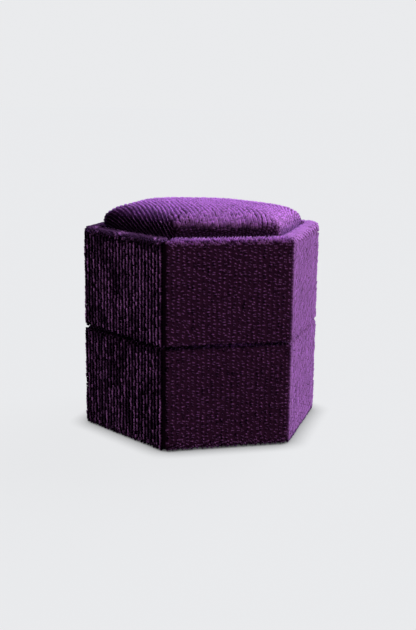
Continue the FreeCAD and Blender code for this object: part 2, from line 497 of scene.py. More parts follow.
def wrap_roots(path, corner, wales, height, first, last, pile, random):
    """Tuft roots on a wrap between two distances along its path: places, ways out and ways along the wale."""
    count = SIDES * wales
    rows = int((last - first) / pile.tuft_pitch)
    wale, row = np.meshgrid(np.arange(count), np.arange(rows), indexing="ij")
    wale = wale.ravel()
    side = wale // wales
    length = wales * pile.wale_pitch
    before = np.where(side == 0, pile.join_gap, pile.corner_gap) / length
    after = np.where(side == SIDES - 1, pile.join_gap, pile.corner_gap) / length
    loose = LOOSE[side]
    within = (wale % wales + 0.5 + 0.12 * loose * random.normal(0, 1, wale.size)) / wales
    share = side + before + within * (1 - before - after)
    step = row.ravel() + 0.25 + 0.5 * (wale % 2) + 0.25 * loose * random.normal(0, 1, wale.size)
    along = first + step * pile.tuft_pitch
    place, out, onward = on_wrap(path, share % SIDES, along, corner)
    return place - out * height, out, onward


def side_of(place):
    """Which side of the box each place is on."""
    return np.argmax(place[:, :2] @ ways_of(np.arange(SIDES))[0].T, axis=1)


def near_height(place, height, reach):
    """Is 1 at a height and fades to 0 a reach away from it."""
    return 1 - np.clip(np.abs(place[:, 2] - height) / reach, 0, 1)


def back_share(place):
    """Is 0 at the front of the box, and 1 from its middle on to the back."""
    return np.clip((place[:, 1] + OUTER) / OUTER, 0, 1)


def corner_share(place):
    """How near each place is to a corner of the box: 1 at the corner itself."""
    return np.linalg.norm(place[:, :2], axis=1) * math.cos(HALF_TURN) / OUTER


def past_board(place, margin):
    """Which places lie further out than the walls' boards, less a margin."""
    return np.linalg.norm(place[:, :2], axis=1) > half_width("base_wall_back") - margin


def left_lip(place):
    """Is 1 where the lid's lower edge rises out of the seam, towards the back of the left side, in pressed pile
    and painted shade.
    """
    lip = np.clip((SEAM + LIP_RISE * back_share(place) - place[:, 2]) / LIP_SOFT + 0.5, 0, 1)
    return np.where((side_of(place) == FRONT_LEFT) & (place[:, 2] > SEAM), lip, 0)


def in_seam(roots):
    """How far the pile is pressed down, and darkened as painted shade, at each root: in the seam between lid
    and base, and at the foot.
    """
    place, out = roots[:2]
    tilt = np.clip(np.abs(out[:, 2]) / 0.5, 0, 1)
    seam = SEAM_FORCE[side_of(place)] * np.minimum(1, 2 * near_height(place, SEAM, 1.5 * MM)) * tilt
    seam = np.where(past_board(place, 0.5 * MM), seam, 0)
    return np.maximum.reduce([seam, 0.9 * left_lip(place), 0.6 * near_height(place, 0, 1.2 * MM)])


def painted_light_tones(place):
    """How much painted light and shade lies on a wrap's pile, by side and at the rim, the seam, the foot and
    the join.
    """
    side = side_of(place)
    far = back_share(place)
    below = np.where(place[:, 2] < SEAM, 1.0, 0.0)
    rim = RIM_PAINTED_LIGHT[side] * near_height(place, RIM, 3.4 * MM)
    reach = np.where(side == FRONT_LEFT, 2 - far, 1.8) * MM
    shelf_shade = SHELF_PAINTED_SHADE[side] * below * np.clip(1.6 * near_height(place, SEAM, reach), 0, 1)
    # Painted shade along the foot, next to the floor
    foot = 0.7 * near_height(place, 0, 1.6 * MM)
    side_shade = np.where(side == FRONT_LEFT, 0.03 + 0.12 * below + 0.12 * far, 0)
    corner = np.array([-math.sin(HALF_TURN), -math.cos(HALF_TURN)]) * OUTER / math.cos(HALF_TURN)
    join = 0.5 * np.clip(1 - np.linalg.norm(place[:, :2] - corner, axis=1) / (2.2 * MM), 0, 1)
    # Painted light on the front
    bright = np.where(side == FRONT, 0.32 - 0.08 * below, 0)
    return bright + rim - shelf_shade - left_lip(place) - foot - side_shade - join


def dome_painted_light(place, out):
    """How much painted light and shade lies on the lid cushion's pile: dark at its foot and down its front
    slope.
    """
    low = np.clip((RIM + 2.7 * MM - place[:, 2]) / (2.3 * MM), 0, 1)
    foot = np.where(side_of(place) == FRONT, low, 0)
    # Painted shade: the front slope is darker towards the left
    side_shade = np.clip(-3 * out[:, 1], 0, 1) * np.clip((8 * MM - place[:, 0]) / (16 * MM), 0, 1)
    left = np.clip(-2 * out[:, 0], 0, 1)
    right = np.clip(2.5 * out[:, 0] - 0.5, 0, 1)
    dark = np.maximum(near_height(place, RIM, 2.8 * MM), foot) * (1 - 0.5 * right)
    return 0.3 + 0.12 * left - 0.2 * right - 0.3 * side_shade - dark


def thickened(roots, zone, across, along):
    """Roots with as many again beside those of a zone, but for the corners of the box."""
    place, out, wale = roots
    moved = place + across * units(np.cross(wale, out)) + along * wale
    extra = zone & (corner_share(moved) < 0.96)
    return tuple(np.concatenate([first, more[extra]]) for first, more in zip(roots, (moved, out, wale)))


def brushed_up(roots, pitch, random):
    """Roots of the lid's wrap with the pile near its rim brushed up, scattered and thickened."""
    place, out, wale = roots
    near = np.clip(1 - (RIM - place[:, 2]) / (2 * MM), 0, 1)
    # The rim sinks at its corners, and is fuller towards the right one
    sunk = 0.5 * MM * near * np.clip((corner_share(place) - 0.94) / 0.05, 0, 1)
    sunk = sunk - 0.7 * MM * near * np.clip((place[:, 0] / OUTER - 0.65) / 0.35, 0, 1)
    scatter = 0.3 * MM * near * random.normal(0, 1, len(place))
    beside = np.cross(wale, out)
    beside[:, 2] = 0
    place = place + beside * scatter[:, None] - sunk[:, None] * UP
    rise = np.where(past_board(place, 0.9 * MM), near, 0)
    brushed = (place, units(out + rise[:, None] * UP), wale)
    return thickened(brushed, near > 0.35, 0.5 * pitch, -0.3 * pitch)


def tuft(pile, height, shape):
    """One tuft: a thin blade along the ridge of the wale and two thicker ones across it, each closed."""
    wide = 0.5 * pile.tuft_width
    long = 0.5 * pile.tuft_length
    deep = -0.12 * height
    tall, edge, turn, dim, fat = shape[:5]
    # Both ends of each blade across and along the wale, half its thickness, its height at both ends, its
    # brightness at the root and at both ends of its edge, and how far the shading of its left and right
    # sides turns aside
    blades = [
        (0.0, -0.99, 0.02, 0.99, 0.05, 1.0, 1.04, 0.0, 0.95, 1.0, -0.2, 1.0),
        (-0.68, 0.25, 0.1, 0.0, fat, 0.75 * tall, tall, dim, edge, 1.0, turn, turn),
        (0.1, 0.0, 0.68, -0.25, fat, tall, 0.75 * tall, dim, 1.0, edge, turn, turn),
    ]
    points = []
    faces = []
    tips = []
    sides = []
    for x, y, far_x, far_y, thick, high, far_high, root, bright, far_bright, left, right in blades:
        a = len(points)
        ends = np.array([(x * wide, y * long), (far_x * wide, far_y * long)])
        run = unit(ends[1] - ends[0])
        aside = np.array([run[1], -run[0]]) * thick * wide
        for place in ends:
            points.append((*(place - aside), deep))
            points.append((*(place + aside), deep))
        points.append((*ends[0], high * height))
        points.append((*ends[1], far_high * height))
        # Brightness from root to tip, which the pile's material paints as shade deep in the pile
        tips += [root] * 4 + [bright, far_bright]
        faces += [(a, a + 5, a + 2), (a, a + 4, a + 5), (a + 1, a + 3, a + 5), (a + 1, a + 5, a + 4)]
        faces += [(a, a + 1, a + 4), (a + 3, a + 2, a + 5), (a, a + 2, a + 3), (a, a + 3, a + 1)]
        sides += [left, left, right, right] + [0.5 * (left + right)] * 4
    piece = mesh_object("tuft", points, faces)
    write_values(piece.data, "tip", tips)
    write_values(piece.data, "side", sides, "FACE")
    write_values(piece.data, "ridge", [1.0] * 8 + [0.0] * (len(faces) - 8), "FACE")
    return piece


def feed(tree, node, inputs):
    """Links each of some inputs of a node to an output, or gives it a value."""
    for key, value in inputs.items():
        if isinstance(value, bpy.types.NodeSocket):
            tree.links.new(value, node.inputs[key])
        else:
            node.inputs[key].default_value = value


def add_node(tree, kind, inputs, **settings):
    """A new node with its settings and its inputs."""
    node = tree.nodes.new(kind)
    for key, value in settings.items():
        setattr(node, key, value)
    feed(tree, node, inputs)
    return node


def add_sockets(tree, way, kinds):
    """Adds named inputs or outputs to a node group."""
    for name, kind in kinds.items():
        tree.interface.new_socket(name, in_out=way, socket_type="NodeSocket" + kind)


def times(tree, first, second):
    """The output of a node that multiplies two numbers."""
    return add_node(tree, "ShaderNodeMath", {0: first, 1: second}, operation="MULTIPLY").outputs[0]


def named_value(tree, name, kind="FLOAT"):
    """The output of a node that reads an attribute."""
    node = add_node(tree, "GeometryNodeInputNamedAttribute", {"Name": name}, data_type=kind)
    return node.outputs["Attribute"]


def random_value(tree, least, most, seed):
    """The output of a node that draws a number for each root."""
    inputs = {2: least, 3: most, "Seed": seed}
    return add_node(tree, "FunctionNodeRandomValue", inputs, data_type="FLOAT").outputs[1]


def pile_tree():
    """Geometry nodes that plant a tuft on each root, along its wale, turned and sized a little at random."""
    tree = bpy.data.node_groups.new("Pile", "GeometryNodeTree")
    add_sockets(tree, "INPUT", {
        "Geometry": "Geometry", "Tuft": "Object", "Least size": "Float", "Most size": "Float",
        "Most turn": "Float", "Seed": "Int", "Material": "Material",
    })
    add_sockets(tree, "OUTPUT", {"Geometry": "Geometry"})
    given = tree.nodes.new("NodeGroupInput").outputs
    align = add_node(tree, "FunctionNodeAxesToRotation", {
        "Primary Axis": named_value(tree, "stand", "FLOAT_VECTOR"),
        "Secondary Axis": named_value(tree, "wale", "FLOAT_VECTOR"),
    }, primary_axis="Z", secondary_axis="Y")
    turn = random_value(tree, times(tree, given["Most turn"], -1.0), given["Most turn"], given["Seed"])
    about = add_node(tree, "FunctionNodeAxisAngleToRotation", {
        "Axis": (0, 0, 1), "Angle": times(tree, turn, named_value(tree, "loose")),
    })
    rotate = add_node(tree, "FunctionNodeRotateRotation", {
        "Rotation": align.outputs["Rotation"], "Rotate By": about.outputs["Rotation"],
    }, rotation_space="LOCAL")
    size = random_value(tree, given["Least size"], given["Most size"], given["Seed"])
    info = add_node(tree, "GeometryNodeObjectInfo", {"Object": given["Tuft"]})
    plant = add_node(tree, "GeometryNodeInstanceOnPoints", {
        "Points": given["Geometry"], "Instance": info.outputs["Geometry"],
        "Rotation": rotate.outputs["Rotation"], "Scale": times(tree, size, named_value(tree, "grown")),
    })
    real = add_node(tree, "GeometryNodeRealizeInstances", {"Geometry": plant.outputs["Instances"]})
    dyed = add_node(tree, "GeometryNodeSetMaterial", {
        "Geometry": real.outputs["Geometry"], "Material": given["Material"],
    })
    add_node(tree, "NodeGroupOutput", {"Geometry": dyed.outputs["Geometry"]})
    return tree


def set_input(modifier, name, value):
    """Sets a modifier's input by its socket's identifier."""
    for item in modifier.node_group.interface.items_tree:
        if item.item_type == "SOCKET" and item.in_out == "INPUT" and item.name == name:
            modifier[item.identifier] = value
            return
    raise KeyError(name)


def mottled(count, random, tuft_share, wale_share):
    """Random tones of tufts that are in order along their wales: from tuft to tuft and in streaks."""
    streaks = np.convolve(random.normal(0, 1, count), np.full(7, 7**-0.5), "same")
    return tuft_share * random.normal(0, 1, count) + wale_share * streaks


def wall_mottle(place):
    """How uneven the pile is on each side of the box: from tuft to tuft, and along the wales."""
    side = side_of(place)
    return TUFT_MOTTLE[side], WALE_MOTTLE[side]


def grow_pile(
    name, roots, height, pile, material, random, pressed=0.0, tones=0.0, mottle=(0.15, 0.1), shape=WALL_TUFT
):
    """A mesh of tufts, one on each root, with its colours on a map and its shading calmed."""
    place, out, wale = roots
    pressed = np.broadcast_to(pressed, len(place))
    nap = np.array([0, pile.brush, -pile.sag])
    # Pile that faces up or down stands as tightly as the pile on the right
    loose = np.where(np.abs(out[:, 2]) < 0.8, LOOSE[side_of(place)], LOOSE[1])
    lean = pile.stray * loose[:, None] * random.normal(0, 1, place.shape)
    stand = units(out + nap - out * (out @ nap)[:, None] + lean)
    # Pressed pile is darkened as painted shade, and the tones add painted light and shade
    shade = (0.5 + tones - 0.4 * pressed + mottled(len(place), random, *mottle)).clip(0, 1)
    grown = 1 - 0.5 * pressed
    carrier = mesh_object(name + "_roots", place, [])
    values = {"stand": stand, "out": out, "wale": wale, "shade": shade, "grown": grown, "loose": loose}
    for key, value in values.items():
        write_values(carrier.data, key, value)
    seedling = tuft(pile, height, shape)
    tree = pile_tree()
    modifier = carrier.modifiers.new("Pile", "NODES")
    modifier.node_group = tree
    inputs = {
        "Tuft": seedling, "Least size": 0.85, "Most size": 1.15, "Most turn": 0.42, "Seed": pile.seed,
        "Material": material,
    }
    for key, value in inputs.items():
        set_input(modifier, key, value)
    mesh = evaluated_mesh(carrier)
    mesh.name = name
    discard(carrier)
    discard(seedling)
    bpy.data.node_groups.remove(tree)
    piece = new_object(name, mesh)
    finish_pile(mesh, pile, shape[-1])
    return piece


def finish_pile(mesh, pile, rib):
    """Lays the pile's colour map, shade across and root to tip up it, and rounds its shading over the wales."""
    corners = np.zeros(len(mesh.loops), np.int32)
    mesh.loops.foreach_get("vertex_index", corners)
    tip, shade = (read_values(mesh, name, 1)[corners, 0] for name in ("tip", "shade"))
    out, wale = (read_values(mesh, name, 3)[corners] for name in ("out", "wale"))
    side, ridge = (read_values(mesh, name, 1).repeat(3, axis=0) for name in ("side", "ridge"))
    ridge = ridge[:, 0]
    right, back, up = out.T
    # The ridges of the wales are darkened where they face the front, and what is between them, as painted
    # shade, where it faces left
    front = np.clip(-back, 0, 1) ** 8
    tip = tip * (1 - 0.6 * ridge * front)
    tip = tip * (1 - 0.75 * (1 - ridge) * np.clip(-right, 0, 1) ** 2)
    # Each tuft is bright at its middle alone where it faces the front; on a cushion, but for its front slope,
    # painted shade darkens it between the wales
    level = np.clip(up, 0, 1) ** 4 * np.clip(1 + 4 * back, 0, 1)
    level = level + np.maximum(-1.5 * right, right).clip(0, 1)
    slope = np.clip(-4 * back, 0, 1) * np.clip((up - 0.35) / 0.3, 0, 1)
    tip = tip ** (1 + (1 - ridge) * (rib * (level - 0.15 * slope) + 0.9 * front))
    # The three corners of a face are set a little apart across the map
    sway = np.tile(np.array([-0.02, 0.02, 0.0]), len(corners) // 3)
    chart = np.column_stack([0.1 + 0.8 * shade + sway, 0.05 + 0.9 * tip])
    mesh.uv_layers.new(name="OFBake").uv.foreach_set("vector", chart.astype(np.float32).ravel())
    # Nothing reaches below the floor
    points = read_points(mesh)
    points[:, 2] = np.maximum(points[:, 2], 0.01 * MM)
    mesh.vertices.foreach_set("co", points.ravel())
    own = read_points(mesh, "normal")[corners]
    # The wales stand out more where the cloth faces left
    stress = pile.wale_swell * (1 + np.clip(-out[:, :1], 0, 1))
    swell = units(out + stress * side * np.cross(wale, out))
    blend = units(pile.calm * swell + (1 - pile.calm) * own)
    shade_smooth(mesh)
    mesh.normals_split_custom_set([tuple(n) for n in blend])
    for key in ("tip", "shade", "grown", "loose", "side", "ridge", "out", "wale", "stand"):
        if key in mesh.attributes:
            mesh.attributes.remove(mesh.attributes[key])
    mesh.update()


def shell(name, rings, material, turn):
    """A closed shell through rings of points, from a point over the first to a point under the last."""
    count = len(rings[0])
    points = [np.mean(rings[0], axis=0)]
    for ring in rings:
        points += list(ring)
    points.append(np.mean(rings[-1], axis=0))
    low = 1 + (len(rings) - 1) * count
    faces = []
    for index in range(count):
        after = (index + 1) % count
        faces.append((0, 1 + index, 1 + after))
        for level in range(len(rings) - 1):
            a, b = 1 + level * count + index, 1 + level * count + after
            faces.append((a, a + count, b + count, b))
        faces.append((low + index, len(points) - 1, low + after))
    if turn > 0:
        faces = [tuple(reversed(face)) for face in faces]
    piece = mesh_object(name, points, faces)
    piece.data.materials.append(material)
    return piece


def puff(piece, voxel, held, reach, pressure):
    """Blows a cushion up by cloth simulation at ten times its size, part of it held and each move capped."""
    scale = 10.0
    scene = bpy.context.scene
    material = piece.data.materials[0]
    helper = new_object("cushion_helper", piece.data.copy())
    helper.data.transform(Matrix.Scale(scale, 4))
    voxels = helper.modifiers.new("Voxels", "REMESH")
    voxels.mode = "VOXEL"
    voxels.voxel_size = voxel * scale
    remeshed = evaluated_mesh(helper)
    discard(helper)
    helper = new_object("cushion_helper", remeshed)
    start = read_points(remeshed).astype(float)
    pins = helper.vertex_groups.new(name="held")
    pins.add([int(i) for i in np.nonzero(held(start / scale))[0]], 1.0, "REPLACE")
    settings = helper.modifiers.new("Cloth", "CLOTH").settings
    settings.quality = 6
    settings.mass = 0.2
    settings.tension_stiffness = 15
    settings.compression_stiffness = 15
    settings.shear_stiffness = 8
    settings.bending_stiffness = 2
    settings.use_pressure = True
    settings.uniform_pressure_force = pressure
    settings.vertex_group_mass = "held"
    settings.effector_weights.gravity = 0
    for number in range(1, 21):
        scene.frame_set(number)
    swollen = evaluated_mesh(helper)
    scene.frame_set(1)
    discard(helper)
    move = read_points(swollen).astype(float) - start
    size = np.linalg.norm(move, axis=1, keepdims=True)
    cap = reach * scale
    move *= cap * np.tanh(size / cap) / np.maximum(size, 1e-9)
    swollen.vertices.foreach_set("co", ((start + move) / scale).ravel())
    shade_smooth(swollen)
    swollen.materials.clear()
    swollen.materials.append(material)
    swollen.update()
    old = piece.data
    piece.data = swollen
    bpy.data.meshes.remove(old)
    swollen.name = piece.name


def lookup_of(piece):
    """A lookup of the points on a piece's surface."""
    mesh = piece.data
    return BVHTree.FromPolygons([v.co for v in mesh.vertices], [tuple(p.vertices) for p in mesh.polygons])


def settle(roots, piece):
    """Roots moved onto the surface of a piece, facing halfway between their own way out and the surface's."""
    place, out, wale = roots
    lookup = lookup_of(piece)
    moved = np.array(place)
    ways = np.array(out)
    for index, point in enumerate(place):
        spot, normal = lookup.find_nearest(Vector(point))[:2]
        moved[index] = spot
        ways[index] = unit(0.5 * out[index] + 0.5 * np.array(normal))
    return moved, ways, wale


def cast_roots(piece, starts, way, wale_way):
    """Roots where rays that go one way first meet a piece, with wales along another way."""
    lookup = lookup_of(piece)
    hits = [lookup.ray_cast(Vector(start), Vector(way))[:2] for start in starts]
    place = np.array([spot for spot, normal in hits if spot is not None])
    out = np.array([normal for spot, normal in hits if spot is not None])
    wale = np.array(wale_way) - out * (out @ np.array(wale_way))[:, None]
    return place, out, units(wale)


def folded_over(path, flat, corner):
    """Where flat points of a six-sided cloth lie once it is laid over a cushion, with the ways out."""
    square, beside = ways_of(np.arange(SIDES))
    side = np.argmax(flat @ square.T, axis=1)
    along = np.sum(flat * square[side], axis=1)
    across = np.sum(flat * beside[side], axis=1) / np.maximum(along * math.tan(HALF_TURN), 1e-9)
    share = side + 0.5 + 0.5 * np.clip(across, -0.9999, 0.9999)
    # A softened hexagon keeps the wales from kinking over the cushion's corners
    soft = np.sum(np.maximum(flat @ square.T, 0) ** 8, axis=1) ** (1 / 8)
    return on_wrap(path, share, np.maximum(soft, 1e-6), corner)[:2]


def wale_grid(reach, pitch, random):
    """Flat places of the tufts on a six-sided cloth, in wales a pitch apart that run from front to back."""
    wales = int(1.2 * reach / pitch)
    step = 0.68 * pitch
    rows = int(1.2 * reach / step)
    wale, row = np.meshgrid(np.arange(-wales, wales + 1), np.arange(-rows, rows + 1), indexing="ij")
    wale = wale.ravel()
    row = row.ravel()
    # The tufts stand less evenly towards the front
    uneven = 1 - 1.2 * np.clip(row / rows, -1, 0)
    across = (wale + 0.04 * uneven * random.normal(0, 1, wale.size)) * pitch
    along = (row + 0.5 * (wale % 2) + 0.1 * uneven * random.normal(0, 1, wale.size)) * step
    flat = np.column_stack([across, along])
    return flat[np.max(flat @ ways_of(np.arange(SIDES))[0].T, axis=1) < reach]


def hexagon_cushion(name, path, corner, height, shape, material):
    """A six-sided cushion's cloth as a closed shell, shaped by one more rule."""
    shares = np.arange(SIDES * 24) / 24
    rings = []
    for along in np.linspace(0.4 * MM, path.length, 60):
        place, out = on_wrap(path, shares, np.full(shares.shape, along), corner)[:2]
        rings.append(shape(place - out * height))
    return shell(name, rings, material, path.turn)


def cushion_roots(path, corner, reach, height, shape, pitch, random):
    """Tuft roots on a six-sided cushion, before they settle on its cloth."""
    flat = wale_grid(reach, pitch, random)
    place, out = folded_over(path, flat, corner)
    beyond = folded_over(path, flat + np.array([0, 0.05 * MM]), corner)[0]
    return shape(place - out * height), out, units(beyond - place)


def new_material(name):
    """A node material: itself, its node tree and its Principled shader."""
    material = bpy.data.materials.new(name)
    material.use_nodes = True
    return material, material.node_tree, material.node_tree.nodes["Principled BSDF"]


def rgba(colour, strength=1.0):
    """A colour, made lighter or darker by a strength, with full alpha."""
    return (*(strength * c for c in colour), 1.0)


def mix_colours(tree, factor, first, second, blend="MIX"):
    """The output of a node that mixes two colours."""
    inputs = {"Factor": factor, 6: first, 7: second}
    return add_node(tree, "ShaderNodeMix", inputs, data_type="RGBA", blend_type=blend).outputs[2]


def map_range(tree, value, least, most, low=0.0, high=1.0, curve="LINEAR"):
    """The output of a node that maps one range of numbers to another."""
    inputs = {"Value": value, "From Min": least, "From Max": most, "To Min": low, "To Max": high}
    return add_node(tree, "ShaderNodeMapRange", inputs, interpolation_type=curve).outputs["Result"]


def mix_shaders(tree, factor, first, second, output):
    """Shows a mix of two shaders."""
    mix = add_node(tree, "ShaderNodeMixShader", {0: factor, 1: first.outputs[0], 2: second.outputs[0]})
    tree.links.new(mix.outputs[0], tree.nodes[output].inputs["Surface"])


def velvet_pile(colours):
    """Cut pile: dark at its roots as painted shade, lighter at its tips, uneven from tuft to tuft, with a
    violet sheen.
    """
    name = "velvet_pile"
    if name in bpy.data.materials:
        return bpy.data.materials[name]
    material, tree, shader = new_material(name)
    where = add_node(tree, "ShaderNodeUVMap", {}, uv_map="OFBake")
    chart = add_node(tree, "ShaderNodeSeparateXYZ", {"Vector": where.outputs["UV"]}).outputs
    # Painted shade deep in the pile: dark at the roots and almost black at their very foot
    lit = map_range(tree, chart["Y"], 0.42, 0.9, curve="SMOOTHSTEP")
    deep = map_range(tree, chart["Y"], 0.1, 0.42, 0.05)
    # Tone across the map: random from tuft to tuft, with painted light and shade
    tone = map_range(tree, chart["X"], 0.0, 1.0, 0.0, 2.0)
    colour = mix_colours(tree, lit, rgba(colours.shaded_pile_root), rgba(colours.pile_tip))
    uneven = mix_colours(tree, 1.0, colour, times(tree, deep, tone), "MULTIPLY")
    feed(tree, shader, {
        "Base Color": uneven, "Roughness": 0.8, "Specular IOR Level": 0.0, "Sheen Weight": 0.6,
        "Sheen Roughness": 0.4, "Sheen Tint": rgba(colours.pile_sheen),
    })
    return material


def fleck_group():
    """A shader group of fine flecks and soft clouds: a colour and a height."""
    name = "Flecks"
    if name in bpy.data.node_groups:
        return bpy.data.node_groups[name]
    group = bpy.data.node_groups.new(name, "ShaderNodeTree")
    add_sockets(group, "INPUT", {
        "Colour": "Color", "Fleck colour": "Color", "Fleck scale": "Float", "Fleck amount": "Float",
    })
    add_sockets(group, "OUTPUT", {"Colour": "Color", "Height": "Float"})
    given = group.nodes.new("NodeGroupInput").outputs
    where = group.nodes.new("ShaderNodeTexCoord").outputs["Object"]
    fine = {"Vector": where, "Scale": given["Fleck scale"], "Detail": 3.0}
    flecks = add_node(group, "ShaderNodeTexNoise", fine).outputs["Fac"]
    clouds = add_node(group, "ShaderNodeTexNoise", {"Vector": where, "Scale": 180.0}).outputs["Fac"]
    amount = times(group, map_range(group, flecks, 0.45, 0.7), given["Fleck amount"])
    colour = mix_colours(group, amount, given["Colour"], given["Fleck colour"])
    tone = map_range(group, clouds, 0.0, 1.0, 0.8, 1.2)
    clouded = mix_colours(group, 1.0, colour, tone, "MULTIPLY")
    add_node(group, "NodeGroupOutput", {"Colour": clouded, "Height": flecks})
    return group


def flecked(name, colour, fleck, scale, amount, bump, roughness):
    """A matt material with flecks: board, card, felt or ground cloth."""
    if name in bpy.data.materials:
        return bpy.data.materials[name]
    material, tree, shader = new_material(name)
    flecks = add_node(tree, "ShaderNodeGroup", {
        "Colour": rgba(colour), "Fleck colour": rgba(fleck), "Fleck scale": scale, "Fleck amount": amount,
    }, node_tree=fleck_group()).outputs
    relief = {"Strength": bump, "Distance": 0.1 * MM, "Height": flecks["Height"]}
    feed(tree, shader, {
        "Base Color": flecks["Colour"], "Normal": add_node(tree, "ShaderNodeBump", relief).outputs["Normal"],
        "Roughness": roughness, "Specular IOR Level": 0.02,
    })
    return material


def velvet_ground(colours):
    """The cloth under the pile: dark as painted shade under the tufts, with a fine knit, and almost black along
    its join, a painted shade.
    """
    name = "velvet_ground"
    if name in bpy.data.materials:
        return bpy.data.materials[name]
    root = [0.6 * c for c in colours.shaded_pile_root]
    material = flecked(name, root, [2 * c for c in root], 4000.0, 0.8, 0.6, 0.95)
    tree = material.node_tree
    base = tree.nodes["Principled BSDF"].inputs["Base Color"]
    join = add_node(tree, "ShaderNodeAttribute", {}, attribute_name="join").outputs["Fac"]
    tree.links.new(mix_colours(tree, join, base.links[0].from_socket, rgba(root, 0.2)), base)
    return material


def base_path():
    """The base's velvet: from its edge under the floor, up the wall, over the rim and down inside."""
    low = bottom("base_sole") + 0.08 * MM
    corners = [
        (OUTER - 9 * MM, low), (OUTER, low), (OUTER, SEAM), (LEG_INNER, SEAM), (LEG_INNER, SEAM - 10 * MM),
    ]
    return folded_path(corners, [BOTTOM_ROUND, SEAM_ROUND, FOLD_ROUND])


def lid_path():
    """The lid's velvet: from its hollow round the lower rim, up the wall, over the rim and into the recess."""
    corners = [
        (LEG_INNER, SEAM + 8 * MM), (LEG_INNER, SEAM), (OUTER, SEAM), (OUTER, RIM), (LEG_INNER, RIM),
        (LEG_INNER, top("lid_top_board")),
    ]
    return folded_path(corners, [FOLD_ROUND, SEAM_ROUND, FOLD_ROUND, FOLD_ROUND])


def collar_path():
    """The collar's velvet: up its outside, over its rim and down its inside."""
    outer = half_width("collar_velvet")
    inner = outer - 2 * COLLAR_COVER - COLLAR_CARD
    high = top("collar_velvet")
    low = bottom("collar_velvet")
    corners = [(outer, low), (outer, high), (inner, high), (inner, low + COLLAR_CARD)]
    return folded_path(corners, [COLLAR_FOLD] * 2)


def lining_path():
    """The lining of the lid's bare boards, from the top down."""
    width = BOARD_INNER - LINING
    return folded_path([(width, top("lid_wall_lining")), (width, bottom("lid_wall_lining"))], [])


def wales_on(width, pile):
    """Number of wales on a flat side at a half width."""
    return round(2 * width * math.tan(HALF_TURN) / pile.wale_pitch)


def dress(body, slot, *pieces):
    """Pieces that ride on one body; the slot is not used."""
    for piece in pieces:
        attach(piece, body)


def begin(context, number):
    """The pile's sizes, the materials of the cloth and of its pile, and a random source by number."""
    pile = context.scene.ring_box_pile
    colours = context.scene.ring_box_colours
    return pile, velvet_ground(colours), velvet_pile(colours), np.random.default_rng(pile.seed + number)


class RINGBOX_OT_base_velvet(bpy.types.Operator):
    """Wraps the base in velvet."""

    bl_idname = "ringbox.base_velvet"
    bl_label = "Base velvet"

    def execute(self, context):
        pile, cloth, velvet, random = begin(context, 0)
        path = base_path()
        wales = wales_on(OUTER, pile)
        ground = ground_cloth("base_velvet", path, wall_corner, wales, pile.height, pile, cloth)
        last = path.length - 7 * MM
        roots = wrap_roots(path, wall_corner, wales, pile.height, 7 * MM, last, pile, random)
        foot = (roots[0][:, 2] < 1.4 * MM) & (roots[1][:, 2] > -0.6)
        roots = thickened(roots, foot, 0.5 * pile.wale_pitch, 0.2 * pile.wale_pitch)
        rest = (in_seam(roots), painted_light_tones(roots[0]), wall_mottle(roots[0]))
        tufts = grow_pile("base_velvet_pile", roots, pile.height, pile, velvet, random, *rest)
        dress("base", "velvet", ground, tufts)
        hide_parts("base_velvet_wrap")
        return {"FINISHED"}


class RINGBOX_OT_lid_velvet(bpy.types.Operator):
    """Wraps the lid in velvet and lines its bare boards."""

    bl_idname = "ringbox.lid_velvet"
    bl_label = "Lid velvet"

    def execute(self, context):
        pile, cloth, velvet, random = begin(context, 1)
        path = lid_path()
        wales = wales_on(OUTER, pile)
        ground = ground_cloth("lid_velvet", path, wall_corner, wales, pile.height, pile, cloth)
        turn = 6.5 * MM
        last = path.length - 2 * MM
        inside = wrap_roots(path, wall_corner, wales, pile.height, 0.3 * MM, turn, pile, random)
        outside = wrap_roots(path, wall_corner, wales, pile.height, turn, last, pile, random)
        outside = brushed_up(outside, pile.wale_pitch, random)
        leg = grow_pile("lid_leg_pile", inside, pile.height, pile, velvet, random)
        rest = (in_seam(outside), painted_light_tones(outside[0]), wall_mottle(outside[0]))
        tufts = grow_pile("lid_velvet_pile", outside, pile.height, pile, velvet, random, *rest)
        dress("lid", "velvet", ground, leg, tufts)
        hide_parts("lid_velvet_wrap")
        parts = [leg, tufts, *self.lining(pile, cloth, velvet, random)]
        return {"FINISHED"}

    def lining(self, pile, cloth, velvet, random):
        """A narrow strip of velvet on the boards inside the lid, above the turned-in edge of its wrap."""
        height = pile.lining_height - 0.05 * MM
        path = lining_path()
        wales = wales_on(BOARD_INNER, pile)
        ground = ground_cloth("lid_lining", path, lining_corner, wales, height, pile, cloth)
        first = path.mark_of_height(bottom("lid_ceiling_cover") + 1.5 * MM, 0, path.length)
        roots = wrap_roots(path, lining_corner, wales, height, first, path.length - 0.4 * MM, pile, random)
        tufts = grow_pile("lid_lining_pile", roots, height, pile, velvet, random)
        dress("lid", "lining_velvet", ground, tufts)
        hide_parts("lid_wall_lining")
        return ground, tufts


def slump(place):
    """The lid's dome leans: it lies a little lower towards the right."""
    width = half_width("lid_pad_velvet")
    share = np.clip((place[:, 2] - RIM) / (top("lid_pad_velvet") - RIM), 0, 1)
    drop = 0.5 * MM * (1 + np.clip(place[:, 0] / width, -1, 1))
    return place - (drop * share)[:, None] * UP


def keep(place):
    """A cushion that stays as its path gives it."""
    return place


